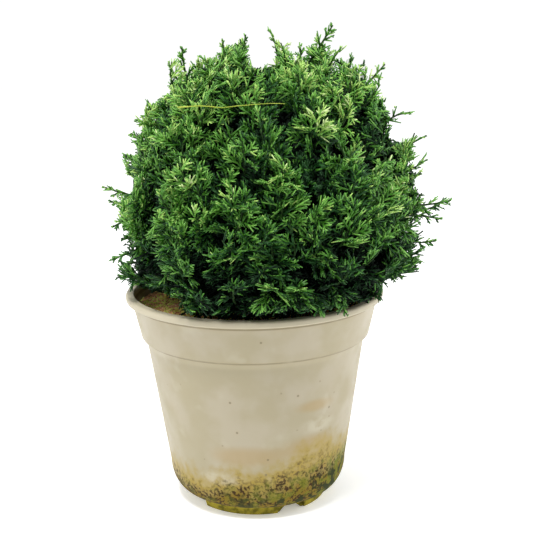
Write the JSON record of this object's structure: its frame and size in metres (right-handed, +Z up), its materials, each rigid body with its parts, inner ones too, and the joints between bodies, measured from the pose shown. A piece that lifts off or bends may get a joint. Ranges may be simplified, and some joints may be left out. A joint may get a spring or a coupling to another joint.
{
  "type": "potted dwarf conifer",
  "caption": "Dwarf conifer with a dense rounded crown of feathery evergreen sprays, growing in a tapered moulded nursery pot with a banded rim and a foot ring, filled with compost.",
  "frame": {"origin": "centre of the pot's underside, on the small pad in the middle of its floor, level with the foot ring that the pot stands on", "axes": "+Z up along the pot's axis, through the plant; -Y to the front, +X to the right of the front"},
  "size_m": [0.319, 0.299, 0.44],
  "materials": {
    "pot_plastic": "satin, stained towards the foot",
    "compost": "rough and granular",
    "bark": "rough",
    "foliage": "matt, scale-like leaves"
  },
  "bodies": {
    "root": {"bough_shoulder_1": "bark", "bough_shoulder_2": "bark", "bough_shoulder_3": "bark", "bough_shoulder_4": "bark", "bough_skirt_1": "bark", "bough_skirt_2": "bark", "bough_skirt_3": "bark", "bough_skirt_4": "bark", "bough_skirt_5": "bark", "bough_waist_1": "bark", "bough_waist_2": "bark", "bough_waist_3": "bark", "bough_waist_4": "bark", "bough_waist_5": "bark", "bough_waist_6": "bark", "foliage_crown_top": "foliage", "foliage_shoulder_1": "foliage", "foliage_shoulder_2": "foliage", "foliage_shoulder_3": "foliage", "foliage_shoulder_4": "foliage", "foliage_skirt_1": "foliage", "foliage_skirt_2": "foliage", "foliage_skirt_3": "foliage", "foliage_skirt_4": "foliage", "foliage_skirt_5": "foliage", "foliage_waist_1": "foliage", "foliage_waist_2": "foliage", "foliage_waist_3": "foliage", "foliage_waist_4": "foliage", "foliage_waist_5": "foliage", "foliage_waist_6": "foliage", "pot": "pot_plastic", "soil": "compost", "trunk": "bark"}
  },
  "joints": []
}
